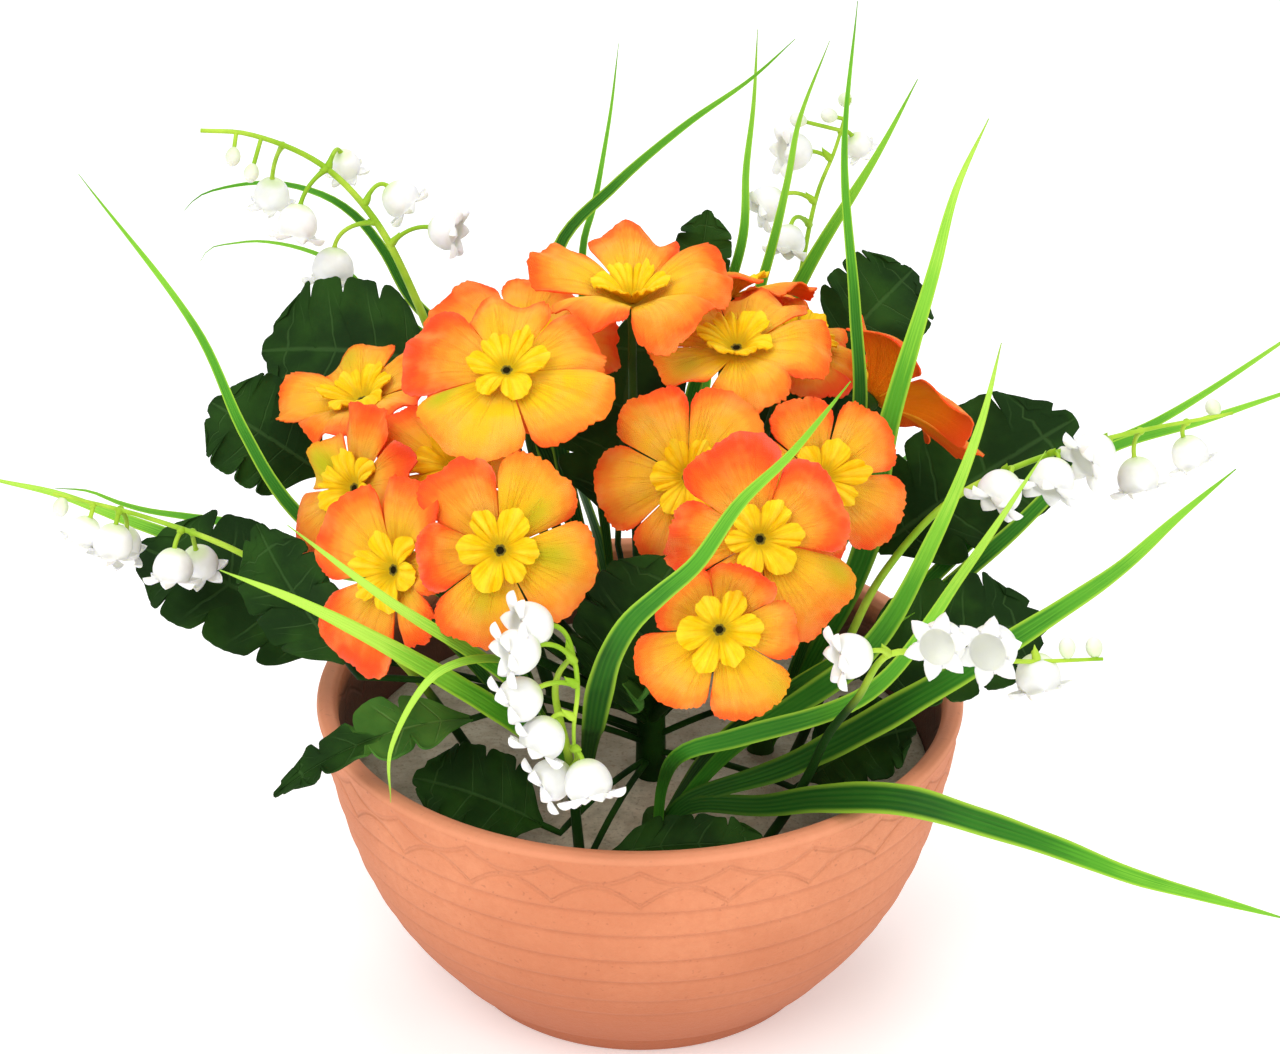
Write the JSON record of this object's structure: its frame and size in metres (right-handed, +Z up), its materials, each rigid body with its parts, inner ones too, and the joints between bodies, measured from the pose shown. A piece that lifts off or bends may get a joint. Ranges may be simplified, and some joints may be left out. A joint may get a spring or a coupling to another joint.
{
  "type": "potted primrose",
  "caption": "Round terracotta-coloured bowl of orange primroses with dark notched leaves, arching grass blades and white lily-of-the-valley sprays.",
  "frame": {"origin": "centre of the bowl's foot, on the surface that it stands on", "axes": "+Z up, the front of the arrangement faces -Y, +X to the viewer's right"},
  "size_m": [0.3802, 0.233, 0.291],
  "materials": {
    "bowl": "matte",
    "fill": "matte",
    "stems": "satin",
    "petals": "matte",
    "centres": "matte",
    "leaves": "matte",
    "grass": "satin",
    "sprays": "satin"
  },
  "bodies": {
    "root": {"bowl": "bowl", "fill": "fill", "bush_stems": "stems", "bloom_back_centre": "centres", "bloom_back_petals": "petals", "bloom_behind_left_centre": "centres", "bloom_behind_left_petals": "petals", "bloom_far_left_centre": "centres", "bloom_far_left_petals": "petals", "bloom_far_right_centre": "centres", "bloom_far_right_petals": "petals", "bloom_front_left_centre": "centres", "bloom_front_left_petals": "petals", "bloom_front_right_centre": "centres", "bloom_front_right_petals": "petals", "bloom_inner_left_centre": "centres", "bloom_inner_left_petals": "petals", "bloom_left_centre": "centres", "bloom_left_petals": "petals", "bloom_low_front_centre": "centres", "bloom_low_front_petals": "petals", "bloom_low_left_centre": "centres", "bloom_low_left_petals": "petals", "bloom_middle_centre": "centres", "bloom_middle_petals": "petals", "bloom_right_centre": "centres", "bloom_right_high_centre": "centres", "bloom_right_high_petals": "petals", "bloom_right_petals": "petals", "bloom_top_centre": "centres", "bloom_top_petals": "petals", "bloom_top_right_centre": "centres", "bloom_top_right_petals": "petals", "bloom_upper_left_centre": "centres", "bloom_upper_left_petals": "petals", "grass_back": "grass", "grass_front": "grass", "grass_left": "grass", "grass_right": "grass", "leaf_back_left": "leaves", "leaf_back_right": "leaves", "leaf_bowl_front": "leaves", "leaf_bowl_left": "leaves", "leaf_bowl_right": "leaves", "leaf_centre": "centres", "leaf_left_high": "leaves", "leaf_left_inner": "leaves", "leaf_left_low": "leaves", "leaf_left_middle": "leaves", "leaf_over_rim": "leaves", "leaf_right_high": "leaves", "leaf_right_low": "leaves", "leaf_right_middle": "leaves", "leaf_top_back": "leaves", "spray_back_right": "sprays", "spray_front": "sprays", "spray_left_high": "sprays", "spray_left_low": "sprays", "spray_right": "sprays", "spray_right_low": "sprays"}
  },
  "joints": []
}
